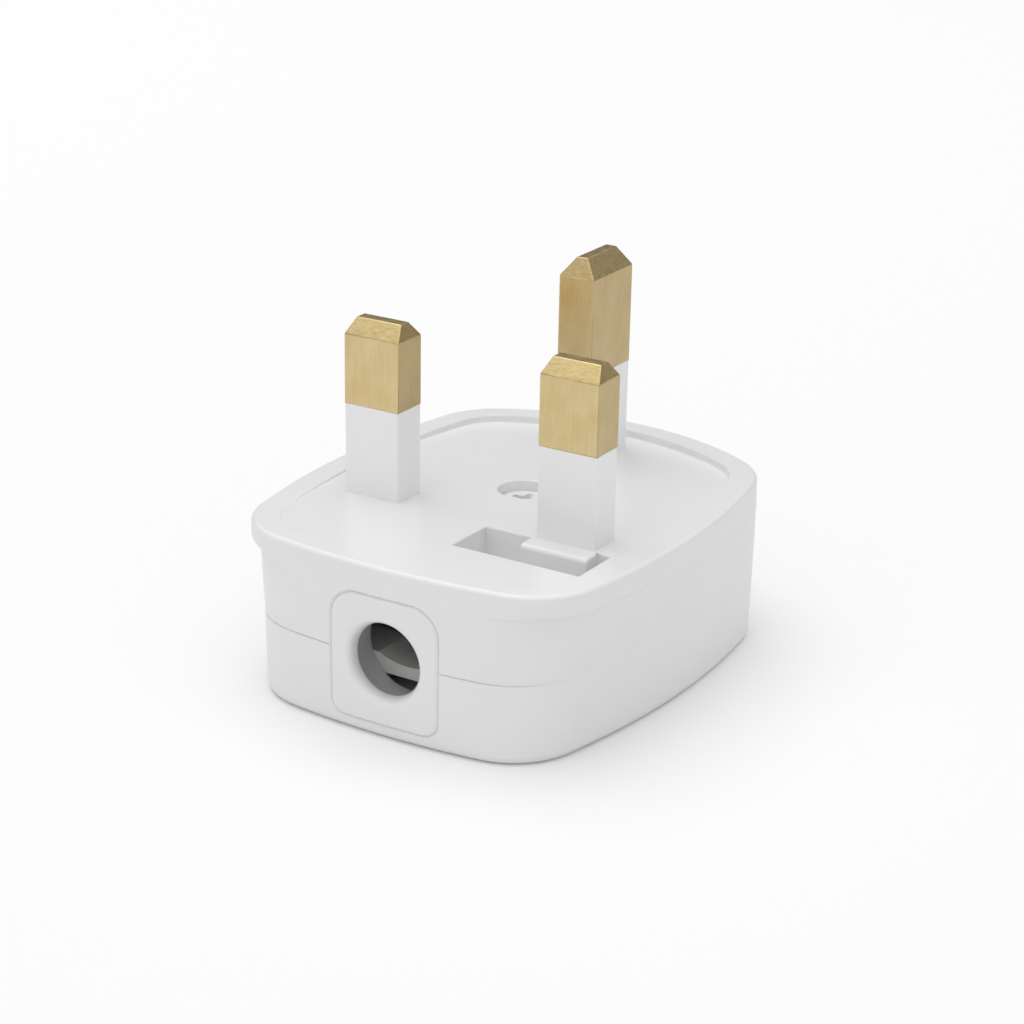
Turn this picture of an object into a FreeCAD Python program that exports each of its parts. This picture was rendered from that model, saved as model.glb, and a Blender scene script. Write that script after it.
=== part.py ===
import FreeCAD, Part
import Sketcher
import math
import os
import re

# A fused three pin mains plug lying on its back cover with its pins up, in millimetres.
# X runs from the line pin to the neutral pin, Y from the cord end to the earth end, Z up.
# The origin is under the middle of the body, on the surface that the cover lies on.

round_steps = 2
same_place = 1e-4

doc = FreeCAD.newDocument("three_pin_plug")
sheet = doc.addObject("Spreadsheet::Sheet", "Sizes")

driving_sizes = {
    # plan outline of the moulded body, all arcs tangent to their neighbours
    "body_length": 49.5,
    "lip_width": 41.0,
    "wall_width": 39.6,
    "lip_widest_back": -1.9,
    "wall_widest_back": 2.5,
    "shoulder_width": 40.6,
    "shoulder_widest_back": -0.4,
    "shoulder_corner_radius": 10.5,
    "lip_back_overhang": 0.1,
    "front_radius": 81.0,
    "front_corner_radius": 8.0,
    "side_radius": 85.0,
    "back_corner_radius": 8.5,
    "back_radius": 29.2,
    # heights and walls of the body
    "body_height": 17.4,
    "parting_height": 8.3,
    "lip_height": 2.5,
    "lip_round": 0.9,
    "top_round": 0.5,
    "bottom_round": 1.0,
    "wall": 2.2,
    "face_thickness": 2.5,
    "floor_thickness": 2.0,
    "draft_inset": 0.1,
    "witness_depth": 0.25,
    "witness_height": 0.2,
    "tongue_height": 1.2,
    "tongue_thickness": 0.8,
    "tongue_clearance": 0.1,
    "tongue_root": 2.0,
    # rim round the pin face, highest at the earth end and run out at the cord end
    "rim_width": 3.0,
    "rim_height": 0.7,
    "rim_fade": 2.6,
    # pins and their sleeves
    "pin_spacing": 22.2,
    "earth_spacing": 22.2,
    "pin_line_inset": 17.1,
    "live_width": 6.35,
    "live_depth": 4.0,
    "live_length": 17.7,
    "live_tip_width": 5.15,
    "live_tip_depth": 1.3,
    "live_tip_height": 1.5,
    "earth_width": 4.0,
    "earth_depth": 8.0,
    "earth_length": 21.3,
    "earth_tip_width": 1.2,
    "earth_tip_depth": 5.9,
    "earth_tip_height": 1.9,
    "sleeve_length": 9.1,
    "sleeve_wall": 0.6,
    # terminal blocks inside
    "head_overlap": 0.7,
    "head_width": 6.4,
    "earth_head_width": 7.2,
    "head_length": 7.0,
    "earth_head_length": 8.6,
    "head_height": 7.0,
    "earth_head_back_gap": 2.4,
    "wire_hole_diameter": 2.6,
    "wire_hole_drop": 4.4,
    "strap_thickness": 1.4,
    "line_head_width": 8.0,
    "line_head_length": 6.4,
    "terminal_screw_diameter": 2.5,
    "terminal_screw_head": 3.8,
    "terminal_screw_head_height": 1.6,
    "screw_slot_width": 0.7,
    "screw_slot_depth": 0.7,
    # relief pocket beside the neutral pin, with the pin's boss standing in it
    "pocket_left": 2.4,
    "pocket_width": 13.8,
    "pocket_length": 6.0,
    "pocket_pin_gap": 0.2,
    "pocket_depth": 4.2,
    "pocket_wall": 1.2,
    "boss_margin": 0.5,
    "boss_reach": 2.1,
    "boss_round": 0.4,
    # screw that holds the cover
    "screw_back": 1.3,
    "screw_diameter": 3.0,
    "screw_length": 9.0,
    "screw_head_diameter": 5.2,
    "screw_head_height": 2.0,
    "screw_head_round": 0.5,
    "screw_head_sink": 1.3,
    "screw_head_clearance": 0.1,
    "screw_hole_clearance": 0.2,
    "cross_width": 0.8,
    "cross_length": 3.2,
    "cross_depth": 1.1,
    "screw_boss_diameter": 7.0,
    "cover_boss_diameter": 7.2,
    "retainer_diameter": 6.0,
    "retainer_thickness": 0.8,
    "retainer_clearance": 0.2,
    "insert_diameter": 5.0,
    "insert_length": 5.0,
    # cartridge fuse and its clips
    "fuse_length": 25.4,
    "fuse_diameter": 6.35,
    "fuse_cap_length": 6.0,
    "fuse_cap_wall": 0.3,
    "fuse_outboard": 0.1,
    "fuse_front": 3.9,
    "clip_clearance": 0.05,
    "clip_thickness": 0.5,
    "clip_drop": 1.8,
    "clip_tab_width": 5.2,
    "clip_length": 5.0,
    "fuse_rib_thickness": 1.2,
    "fuse_rib_clearance": 0.1,
    "fuse_rib_spacing": 8.0,
    "pillar_width": 3.6,
    "pillar_length": 6.0,
    "pillar_fuse_gap": 0.3,
    # cord entry and grip
    "collar_width": 12.0,
    "collar_offset": 0.45,
    "collar_height": 12.9,
    "collar_bottom": 1.4,
    "collar_depth": 5.0,
    "collar_top_radius": 3.0,
    "collar_bottom_radius": 1.6,
    "collar_gap": 0.05,
    "collar_seat_gap": 0.05,
    "flange_margin": 1.2,
    "flange_thickness": 1.4,
    "flange_clearance": 0.2,
    "cord_hole_diameter": 7.4,
    "cord_hole_flare": 0.8,
    "cord_plate": 1.3,
    "cord_room_diameter": 9.4,
    "grip_spacing": 18.4,
    "grip_inset": 7.6,
    "grip_post_diameter": 4.6,
    "grip_bar_length": 24.0,
    "grip_bar_width": 5.0,
    "grip_bar_thickness": 2.0,
    "grip_bar_height": 4.2,
    "grip_bar_saddle": 0.8,
    "grip_screw_diameter": 2.6,
    "grip_screw_head": 4.6,
    "grip_screw_head_height": 1.6,
    "grip_screw_reach": 5.0,
}

for row, (alias, size) in enumerate(driving_sizes.items(), 1):
    sheet.set(f"A{row}", alias)
    sheet.set(f"B{row}", str(size))
    sheet.setAlias(f"B{row}", alias)
doc.recompute()

# Places that several pieces share, as formulas on the driving sizes
front = "(-body_length / 2)"
back = "(body_length / 2)"
pin_line = f"({front} + pin_line_inset)"
earth_line = f"({pin_line} + earth_spacing)"
neutral_x = "(pin_spacing / 2)"
line_x = "(-pin_spacing / 2)"
face_under = "(body_height - face_thickness)"
lip_foot = "(body_height - lip_height)"
strap_under = f"({face_under} - strap_thickness)"
head_foot = f"({face_under} - head_height)"
wire_level = f"({face_under} - wire_hole_drop)"
fuse_x = f"({line_x} - fuse_outboard)"
fuse_start = f"({pin_line} - fuse_front)"
fuse_end = f"({fuse_start} + fuse_length)"
clip_inside = "(fuse_diameter / 2 + clip_clearance)"
fuse_level = f"({strap_under} - clip_thickness - {clip_inside})"
screw_seat = "(body_height - screw_head_sink - screw_head_height)"
screw_boss_foot = "(parting_height + retainer_thickness + retainer_clearance)"
collar_top = "(collar_bottom + collar_height)"
collar_back = f"({front} + collar_depth)"
cord_level = "(collar_bottom + collar_height / 2)"
grip_line = f"({front} + grip_inset)"
grip_bar_top = "(grip_bar_height + grip_bar_thickness)"
pocket_back = f"({pin_line} - live_depth / 2 - pocket_pin_gap)"
pocket_front = f"({pocket_back} - pocket_length)"
pocket_right = "(pocket_left + pocket_width)"
rim_fade_line = f"({front} + rim_fade)"
rim_slope = f"(rim_height / ({back} - rim_width - {rim_fade_line}))"


def cells(formula):
    """Point each size named in a formula at its cell in the sheet."""
    def point(word):
        return f"Sizes.{word[0]}" if word[0] in driving_sizes else word[0]

    return re.sub(r"[a-z_]+", point, formula)


def value(formula):
    return float(doc.getObject("pin_base").evalExpression(cells(formula)))


def new_body(label, x="0", y="0"):
    body = doc.addObject("PartDesign::Body", label)
    body.Label = label
    body.AllowCompound = True
    body.setExpression("Placement.Base.x", cells(x))
    body.setExpression("Placement.Base.y", cells(y))
    return body


def new_sketch(body, role="XY_Plane", level="0"):
    """A sketch on an origin plane of the body, moved along that plane's normal."""
    sketch = body.newObject("Sketcher::SketchObject", f"{body.Label}_sketch")
    plane = next(feature for feature in body.Origin.OriginFeatures if feature.Role == role)
    sketch.AttachmentSupport = (plane, "")
    sketch.MapMode = "FlatFace"
    sketch.setExpression("AttachmentOffset.Base.z", cells(level))
    return sketch


def bind(sketch, kind, places, formula):
    """Add a sized constraint that follows a formula on the sheet."""
    index = sketch.addConstraint(Sketcher.Constraint(kind, *places, value(formula)))
    sketch.setExpression(f"Constraints[{index}]", cells(formula))


def pin_point(sketch, curve, end, x, y):
    bind(sketch, "DistanceX", (-1, 1, curve, end), x)
    bind(sketch, "DistanceY", (-1, 1, curve, end), y)


def draw_polygon(sketch, corners):
    points = [FreeCAD.Vector(value(x), value(y), 0) for x, y in corners]
    count = len(points)
    first = sketch.GeometryCount
    for i in range(count):
        sketch.addGeometry(Part.LineSegment(points[i], points[(i + 1) % count]))
    for i in range(count):
        sketch.addConstraint(Sketcher.Constraint("Coincident", first + i, 2, first + (i + 1) % count, 1))
    for i, (x, y) in enumerate(corners):
        pin_point(sketch, first + i, 1, x, y)
    return sketch


def draw_rectangle(sketch, left, bottom, right, top):
    return draw_polygon(sketch, [(left, bottom), (right, bottom), (right, top), (left, top)])


def draw_centred(sketch, width, depth, x="0", y="0"):
    return draw_rectangle(sketch, f"{x} - {width} / 2", f"{y} - {depth} / 2",
                          f"{x} + {width} / 2", f"{y} + {depth} / 2")


def draw_circle(sketch, diameter, x="0", y="0"):
    centre = FreeCAD.Vector(value(x), value(y), 0)
    circle = sketch.addGeometry(Part.Circle(centre, FreeCAD.Vector(0, 0, 1), value(diameter) / 2))
    pin_point(sketch, circle, 3, x, y)
    bind(sketch, "Radius", (circle,), f"({diameter}) / 2")
    return sketch


def arc_between(centre, start, end):
    """An arc that runs anticlockwise about its centre from start to end."""
    radius = (start - centre).Length
    angles = [math.atan2(point.y - centre.y, point.x - centre.x) for point in (start, end)]
    return Part.ArcOfCircle(Part.Circle(centre, FreeCAD.Vector(0, 0, 1), radius), *angles)


def tangent_loop(sketch, first, count):
    for i in range(count):
        sketch.addConstraint(Sketcher.Constraint("Tangent", first + i, 2, first + (i + 1) % count, 1))


def add(body, kind, **settings):
    feature = body.newObject(f"PartDesign::{kind}", f"{body.Label}_{kind.lower()}")
    for name, setting in settings.items():
        setattr(feature, name, setting)
    return feature


def pad(body, sketch, length, downward=False):
    feature = add(body, "Pad", Profile=sketch, Reversed=downward)
    feature.setExpression("Length", cells(length))
    doc.recompute()
    return feature


def cut(body, sketch, length, along_normal=False):
    """A pocket against the sketch's normal, or along it, which has to take material away."""
    before = body.Shape.Volume
    feature = add(body, "Pocket", Profile=sketch, Reversed=along_normal)
    feature.setExpression("Length", cells(length))
    doc.recompute()
    if not body.Shape.Volume < before:
        raise RuntimeError(f"a pocket in {body.Label} cuts nothing")
    return feature


def loft(body, sketches, ruled):
    feature = add(body, "AdditiveLoft", Profile=sketches[0], Sections=sketches[1:], Ruled=ruled)
    doc.recompute()
    return feature


def dress_edges(body, kind, size, chosen, formula):
    """Fillet or chamfer the edges of the body that pass the test."""
    base = body.Tip
    names = [f"Edge{i}" for i, edge in enumerate(base.Shape.Edges, 1) if chosen(edge)]
    feature = add(body, kind, Base=(base, names))
    feature.setExpression(size, cells(formula))
    doc.recompute()
    return feature


def round_edges(body, chosen, radius):
    return dress_edges(body, "Fillet", "Radius", chosen, radius)


def break_edges(body, chosen, width):
    return dress_edges(body, "Chamfer", "Size", chosen, width)


def edge_middle(edge):
    return edge.valueAt((edge.FirstParameter + edge.LastParameter) / 2)


def lies_at(edge, level):
    """True for an edge that lies all along the given height."""
    return all(abs(z - value(level)) < same_place for z in (edge.BoundBox.ZMin, edge.BoundBox.ZMax))


def body_plan(kind, corner="front_corner_radius", front_shift="0"):
    """Formulas of an outline of eight tangent arcs: the wall, its shoulder under the lip or the lip."""
    overhang = "0" if kind == "lip" else "lip_back_overhang"
    return {"front": f"({front} + {front_shift})",
            "back": f"({back} - {overhang})",
            "half_width": f"({kind}_width / 2)",
            "widest": f"{kind}_widest_back",
            "front_arc": "front_radius",
            "front_corner": corner,
            "side_arc": "side_radius",
            "back_corner": "back_corner_radius",
            "back_arc": "back_radius"}


def between(first, second, share):
    """The outline that lies a share of the way from one outline to another."""
    return {name: f"({first[name]} + ({second[name]} - {first[name]}) * {share})" for name in first}


def inset(outline, distance):
    """The same outline moved inwards all round."""
    moved = {name: f"({formula} - {distance})" for name, formula in outline.items()}
    moved["front"] = f"({outline['front']} + {distance})"
    moved["widest"] = outline["widest"]
    return moved


def quarter_round(step):
    """Sine and one minus cosine of the turn that a step has reached along a quarter round."""
    turn = math.pi / 2 * step / round_steps
    return math.sin(turn), 1 - math.cos(turn)


def stack(body, levels):
    """A ruled solid through outlines of the body, each at its level."""
    loft(body, [draw_plan(new_sketch(body, level=level), outline) for level, outline in levels], ruled=True)


def corner_centre(end_centre, end_reach, side_centre, side_reach):
    """Where a corner arc's centre lies, given its distances from two neighbouring centres."""
    across = side_centre - end_centre
    along = (end_reach ** 2 - side_reach ** 2 + across.Length ** 2) / (2 * across.Length)
    off = math.sqrt(end_reach ** 2 - along ** 2)
    step = FreeCAD.Vector(across).normalize()
    turned = FreeCAD.Vector(-step.y, step.x, 0)
    choices = [end_centre + step * along + turned * side for side in (off, -off)]
    return max(choices, key=lambda point: point.x)


def draw_plan(sketch, outline):
    size = {name: value(formula) for name, formula in outline.items()}
    front_centre = FreeCAD.Vector(0, size["front"] + size["front_arc"], 0)
    back_centre = FreeCAD.Vector(0, size["back"] - size["back_arc"], 0)
    side_centre = FreeCAD.Vector(size["half_width"] - size["side_arc"], size["widest"], 0)
    front_corner = corner_centre(front_centre, size["front_arc"] - size["front_corner"],
                                 side_centre, size["side_arc"] - size["front_corner"])
    back_corner = corner_centre(back_centre, size["back_arc"] - size["back_corner"],
                                side_centre, size["side_arc"] - size["back_corner"])

    def touch(big_centre, radius, small_centre):
        return big_centre + (small_centre - big_centre).normalize() * radius

    def flip(point):
        return FreeCAD.Vector(-point.x, point.y, 0)

    joins = [touch(front_centre, size["front_arc"], front_corner),
             touch(side_centre, size["side_arc"], front_corner),
             touch(side_centre, size["side_arc"], back_corner),
             touch(back_centre, size["back_arc"], back_corner)]
    joins += [flip(point) for point in reversed(joins)]
    centres = [front_corner, side_centre, back_corner, back_centre,
               flip(back_corner), flip(side_centre), flip(front_corner), front_centre]
    radii = ["front_corner", "side_arc", "back_corner", "back_arc",
             "back_corner", "side_arc", "front_corner", "front_arc"]
    first = sketch.GeometryCount
    for i, centre in enumerate(centres):
        sketch.addGeometry(arc_between(centre, joins[i], joins[(i + 1) % len(joins)]))
    tangent_loop(sketch, first, len(centres))
    for i, radius in enumerate(radii):
        bind(sketch, "Radius", (first + i,), outline[radius])
    side_x = f"({outline['half_width']} - {outline['side_arc']})"
    pin_point(sketch, first + 1, 3, side_x, outline["widest"])
    pin_point(sketch, first + 3, 3, "0", f"{outline['back']} - {outline['back_arc']}")
    pin_point(sketch, first + 5, 3, f"-{side_x}", outline["widest"])
    pin_point(sketch, first + 7, 3, "0", f"{outline['front']} + {outline['front_arc']}")
    return sketch


def collar_outline(sketch, gap):
    """Rounded square of the cord entry seen along Y, larger by a gap all round."""
    half = f"(collar_width / 2 + {gap})"
    offset = value("collar_offset")
    low = f"(collar_bottom - {gap})"
    high = f"({collar_top} + {gap})"
    low_round = f"(collar_bottom_radius + {gap})"
    high_round = f"(collar_top_radius + {gap})"
    right, bottom, top = value(half), value(low), value(high)
    small, large = value(low_round), value(high_round)

    def at(x, z):
        return FreeCAD.Vector(x + offset, z, 0)

    corners = [(at(right - small, bottom), at(right - small, bottom + small), at(right, bottom + small)),
               (at(right, top - large), at(right - large, top - large), at(right - large, top)),
               (at(large - right, top), at(large - right, top - large), at(-right, top - large)),
               (at(-right, bottom + small), at(small - right, bottom + small), at(small - right, bottom))]
    for i, (start, centre, end) in enumerate(corners):
        sketch.addGeometry(arc_between(centre, start, end))
        sketch.addGeometry(Part.LineSegment(end, corners[(i + 1) % len(corners)][0]))
    tangent_loop(sketch, 0, 2 * len(corners))
    for arc, radius in zip((0, 2, 4, 6), (low_round, high_round, high_round, low_round)):
        bind(sketch, "Radius", (arc,), radius)
    pin_point(sketch, 0, 3, f"collar_offset + {half} - {low_round}", f"{low} + {low_round}")
    pin_point(sketch, 2, 3, f"collar_offset + {half} - {high_round}", f"{high} - {high_round}")
    pin_point(sketch, 4, 3, f"collar_offset + {high_round} - {half}", f"{high} - {high_round}")
    pin_point(sketch, 6, 3, f"collar_offset + {low_round} - {half}", f"{low} + {low_round}")
    return sketch


def cut_collar_window(body):
    """The opening that the collar fills, through the front wall to the collar's back."""
    window = collar_outline(new_sketch(body, "XZ_Plane", f"-{collar_back} - collar_gap"), "collar_gap")
    cut(body, window, "2 * collar_depth", along_normal=True)


# The moulded half that carries the pins
def make_pin_base():
    body = new_body("pin_base")
    wall_plan = body_plan("wall")
    shoulder_plan = body_plan("shoulder", "shoulder_corner_radius")
    lip_plan = body_plan("lip")
    levels = [("parting_height", wall_plan)]
    # the underside of the lip is a quarter round at the cord end's corners, which runs out along the sides
    for step in range(round_steps + 1):
        out, rise = quarter_round(step)
        levels.append((f"{lip_foot} + lip_round * {rise}", between(shoulder_plan, lip_plan, out)))
    # the top edge is rounded too
    for step in range(round_steps + 1):
        rise, back_in = quarter_round(step)
        edge_plan = inset(lip_plan, f"(top_round * {back_in})")
        levels.append((f"body_height - top_round * {1 - rise}", edge_plan))
    stack(body, levels)

    # the pin face slopes down by a hair towards the earth end and leaves the rim standing
    face = draw_plan(new_sketch(body, level=f"body_height + {rim_fade_line} * {rim_slope}"),
                     inset(lip_plan, "rim_width"))
    tilt = FreeCAD.Rotation(FreeCAD.Vector(1, 0, 0), -math.degrees(math.atan(value(rim_slope))))
    face.AttachmentOffset = FreeCAD.Placement(face.AttachmentOffset.Base, tilt)
    face.setExpression("AttachmentOffset.Rotation.Angle", cells(f"-atan({rim_slope})"))
    cut(body, face, "body_height", along_normal=True)

    hollow = draw_plan(new_sketch(body, level="parting_height"), inset(wall_plan, "wall"))
    cut(body, hollow, f"{face_under} - parting_height", along_normal=True)

    # bosses that stand inside: cover screw, relief pocket and cord grip
    pad(body, draw_circle(new_sketch(body, level=face_under), "screw_boss_diameter", y="screw_back"),
        f"{face_under} - {screw_boss_foot}", downward=True)
    well = draw_rectangle(new_sketch(body, level=face_under), "pocket_left - pocket_wall",
                          f"{pocket_front} - pocket_wall", f"{pocket_right} + pocket_wall",
                          f"{pocket_back} + pocket_wall")
    pad(body, well, "pocket_depth + pocket_wall - face_thickness", downward=True)
    posts = new_sketch(body, level=face_under)
    for side in ("-", ""):
        draw_circle(posts, "grip_post_diameter", x=f"{side}grip_spacing / 2", y=grip_line)
    pad(body, posts, f"{face_under} - {grip_bar_top}", downward=True)

    # openings: pins, relief pocket, cover screw, cord entry and grip screws
    slots = new_sketch(body, level=face_under)
    for x, y, width, depth in ((line_x, pin_line, "live_width", "live_depth"),
                               (neutral_x, pin_line, "live_width", "live_depth"),
                               ("0", earth_line, "earth_width", "earth_depth")):
        draw_centred(slots, width, depth, x, y)
    cut(body, slots, "2 * face_thickness", along_normal=True)
    boss_left = f"({neutral_x} - live_width / 2 - boss_margin)"
    boss_right = f"({neutral_x} + live_width / 2 + boss_margin)"
    boss_front = f"({pocket_back} - boss_reach)"
    pocket = draw_polygon(new_sketch(body, level="body_height"), [
        ("pocket_left", pocket_front), (pocket_right, pocket_front), (pocket_right, pocket_back),
        (boss_right, pocket_back), (boss_right, boss_front), (boss_left, boss_front),
        (boss_left, pocket_back), ("pocket_left", pocket_back)])
    cut(body, pocket, "pocket_depth")

    def on_boss_brow(edge):
        middle = edge_middle(edge)
        high = edge.BoundBox.ZMin > value("body_height - rim_height - boss_round / 2")
        at_front = abs(middle.y - value(boss_front)) < same_place
        return high and at_front and abs(middle.x - value(neutral_x)) < same_place

    round_edges(body, on_boss_brow, "boss_round")
    head_hole = draw_circle(new_sketch(body, level="body_height"),
                            "screw_head_diameter + 2 * screw_head_clearance", y="screw_back")
    cut(body, head_hole, f"body_height - {screw_seat}")
    shank_hole = draw_circle(new_sketch(body, level="body_height"),
                             "screw_diameter + 2 * screw_hole_clearance", y="screw_back")
    cut(body, shank_hole, "body_height")
    cut_collar_window(body)
    pilots = new_sketch(body, level=grip_bar_top)
    for side in ("-", ""):
        draw_circle(pilots, "grip_screw_diameter", x=f"{side}grip_spacing / 2", y=grip_line)
    cut(body, pilots, "grip_screw_reach", along_normal=True)
    return body


# The moulded half that the plug lies on
def make_back_cover():
    body = new_body("back_cover")
    wall_plan = body_plan("wall")
    band_foot = "(parting_height - witness_height)"
    levels = []
    for step in range(round_steps + 1):
        out, rise = quarter_round(step)
        edge_plan = inset(wall_plan, f"(draft_inset + bottom_round * {1 - out})")
        levels.append((f"bottom_round * {rise}", edge_plan))
    stack(body, levels + [(band_foot, wall_plan)])
    # the top band stands back at the cord end only, which leaves the fine line between the halves
    band = draw_plan(new_sketch(body, level=band_foot), body_plan("wall", front_shift="witness_depth"))
    pad(body, band, "witness_height")
    hollow = draw_plan(new_sketch(body, level="floor_thickness"), inset(wall_plan, "wall"))
    cut(body, hollow, "parting_height", along_normal=True)

    # locating tongue inside the base's wall, open at the collar
    root = new_sketch(body, level="parting_height - tongue_root")
    draw_plan(root, inset(wall_plan, "wall / 2"))
    draw_plan(root, inset(wall_plan, "(wall + tongue_clearance + tongue_thickness)"))
    pad(body, root, "tongue_root")
    tongue = new_sketch(body, level="parting_height")
    draw_plan(tongue, inset(wall_plan, "(wall + tongue_clearance)"))
    draw_plan(tongue, inset(wall_plan, "(wall + tongue_clearance + tongue_thickness)"))
    pad(body, tongue, "tongue_height")
    collar_room = "(collar_width / 2 + flange_margin + flange_clearance)"
    gate = draw_rectangle(new_sketch(body, level="floor_thickness"),
                          f"collar_offset - {collar_room}", f"{front} + wall",
                          f"collar_offset + {collar_room}", f"{collar_back} + collar_gap")
    cut(body, gate, "body_height", along_normal=True)

    # boss for the threaded insert and ribs under the fuse
    boss = draw_circle(new_sketch(body, level="floor_thickness / 2"), "cover_boss_diameter", y="screw_back")
    pad(body, boss, "parting_height - floor_thickness / 2")
    seat = draw_circle(new_sketch(body, level="parting_height"), "insert_diameter", y="screw_back")
    cut(body, seat, "insert_length")
    ribs = new_sketch(body, level="floor_thickness / 2")
    for side in ("-", ""):
        draw_centred(ribs, "fuse_diameter", "fuse_rib_thickness", fuse_x,
                     f"({fuse_start} + fuse_length / 2 {side or '+'} fuse_rib_spacing / 2)")
    pad(body, ribs, f"{fuse_level} - fuse_diameter / 2 - fuse_rib_clearance - floor_thickness / 2")
    cut_collar_window(body)
    return body


def make_cord_entry_collar():
    body = new_body("cord_entry_collar")
    pad(body, collar_outline(new_sketch(body, "XZ_Plane", f"-{collar_back}"), "0"), "2 * collar_depth")
    # the front face follows the curve of the body's cord end
    trim = new_sketch(body)
    reach, far = value("collar_width"), value(f"{front} - 2 * collar_depth")
    radius = value("front_radius")
    centre = FreeCAD.Vector(0, value(f"{front} + front_radius"), 0)
    edge_y = centre.y - math.sqrt(radius ** 2 - reach ** 2)
    left = FreeCAD.Vector(-reach, edge_y, 0)
    right = FreeCAD.Vector(reach, edge_y, 0)
    low_left = FreeCAD.Vector(-reach, far, 0)
    low_right = FreeCAD.Vector(reach, far, 0)
    trim.addGeometry(arc_between(centre, left, right))
    for start, end in ((right, low_right), (low_right, low_left), (low_left, left)):
        trim.addGeometry(Part.LineSegment(start, end))
    for i in range(4):
        trim.addConstraint(Sketcher.Constraint("Coincident", i, 2, (i + 1) % 4, 1))
    for i in (1, 3):
        trim.addConstraint(Sketcher.Constraint("Vertical", i))
    bind(trim, "Radius", (0,), "front_radius")
    pin_point(trim, 0, 3, "0", f"{front} + front_radius")
    pin_point(trim, 1, 2, "collar_width", f"{front} - 2 * collar_depth")
    pin_point(trim, 2, 2, "-collar_width", f"{front} - 2 * collar_depth")
    cut(body, trim, "body_height", along_normal=True)
    # flange that the two halves trap behind their front wall
    half = "(collar_width / 2 + flange_margin)"
    far_side = f"({half} + collar_offset)"
    wall_curve = f"({far_side} * {far_side} / (2 * (front_radius - wall)))"
    flange_front = f"({front} + wall + {wall_curve} + collar_seat_gap)"
    flange = draw_rectangle(new_sketch(body, "XZ_Plane", f"-{flange_front} - flange_thickness"),
                            f"collar_offset - {half}", "floor_thickness + collar_seat_gap",
                            f"collar_offset + {half}", f"{face_under} - flange_clearance")
    pad(body, flange, "flange_thickness")
    hole = draw_circle(new_sketch(body, "XZ_Plane", f"-{collar_back}"), "cord_hole_diameter",
                       "collar_offset", cord_level)
    cut(body, hole, "2 * collar_depth", along_normal=True)

    def on_mouth(edge):
        middle = edge_middle(edge)
        off_axis = math.hypot(middle.x - value("collar_offset"), middle.z - value(cord_level))
        at_front = edge.BoundBox.YMax < value(f"{collar_back} - collar_depth / 2")
        return at_front and abs(off_axis - value("cord_hole_diameter") / 2) < same_place

    break_edges(body, on_mouth, "cord_hole_flare")
    room = draw_circle(new_sketch(body, "XZ_Plane", f"-{collar_back}"), "cord_room_diameter",
                       "collar_offset", cord_level)
    cut(body, room, "collar_depth - cord_plate", along_normal=True)
    return body


def make_pin(label, x, y, kind):
    """A brass pin: chamfered tip, blade, thinner neck for the sleeve."""
    body = new_body(label, x, y)
    width, depth = f"{kind}_width", f"{kind}_depth"
    sleeve_top = "(body_height + sleeve_length)"
    shoulder = f"(body_height + {kind}_length - {kind}_tip_height)"
    pad(body, draw_centred(new_sketch(body, level=face_under), f"({width} - 2 * sleeve_wall)",
                           f"({depth} - 2 * sleeve_wall)"), f"{sleeve_top} - {face_under}")
    pad(body, draw_centred(new_sketch(body, level=sleeve_top), width, depth), f"{shoulder} - {sleeve_top}")
    tip = f"(body_height + {kind}_length)"
    pad(body, draw_centred(new_sketch(body, level=shoulder), width, depth), f"{tip} - {shoulder}")
    # the four slopes of the tip, cut from the side and from the front
    for role, across, along, tip_across in (("XZ_Plane", width, depth, f"{kind}_tip_width"),
                                            ("YZ_Plane", depth, width, f"{kind}_tip_depth")):
        slopes = new_sketch(body, role, f"-{along}")
        for side in ("-", ""):
            draw_polygon(slopes, [(f"{side}{across} / 2", shoulder), (f"{side}{across} / 2", tip),
                                  (f"{side}{tip_across} / 2", tip)])
        cut(body, slopes, f"2 * {along}", along_normal=True)
    return body


def add_terminal_head(body, width, length, start):
    """Pillar terminal under the pin face: block, wire hole along Y and screw hole from below."""
    middle = f"({start} + {length} / 2)"
    block = draw_centred(new_sketch(body, level=face_under), width, length, y=middle)
    pad(body, block, "head_height", downward=True)
    wire = draw_circle(new_sketch(body, "XZ_Plane", f"-{start}"), "wire_hole_diameter", y=wire_level)
    cut(body, wire, length)
    thread = draw_circle(new_sketch(body, level=head_foot), "terminal_screw_diameter", y=middle)
    cut(body, thread, f"{wire_level} - {head_foot}", along_normal=True)


def make_line_pin():
    body = make_pin("line_pin", line_x, pin_line, "live")
    pad(body, draw_centred(new_sketch(body, level=face_under), "line_head_width", "line_head_length"),
        "strap_thickness", downward=True)
    return body


neutral_head_start = "(-head_overlap)"
inner_back = f"({back} - lip_back_overhang - wall - tongue_clearance - tongue_thickness)"
earth_head_start = f"({inner_back} - earth_head_back_gap - earth_head_length - {earth_line})"


def make_neutral_pin():
    body = make_pin("neutral_pin", neutral_x, pin_line, "live")
    add_terminal_head(body, "head_width", "head_length", neutral_head_start)
    return body


def make_earth_pin():
    body = make_pin("earth_pin", "0", earth_line, "earth")
    add_terminal_head(body, "earth_head_width", "earth_head_length", earth_head_start)
    return body


def make_sleeve(label, x, y, kind):
    body = new_body(label, x, y)
    tube = new_sketch(body, level=face_under)
    draw_centred(tube, f"{kind}_width", f"{kind}_depth")
    draw_centred(tube, f"({kind}_width - 2 * sleeve_wall)", f"({kind}_depth - 2 * sleeve_wall)")
    pad(body, tube, "face_thickness + sleeve_length")
    return body


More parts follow.
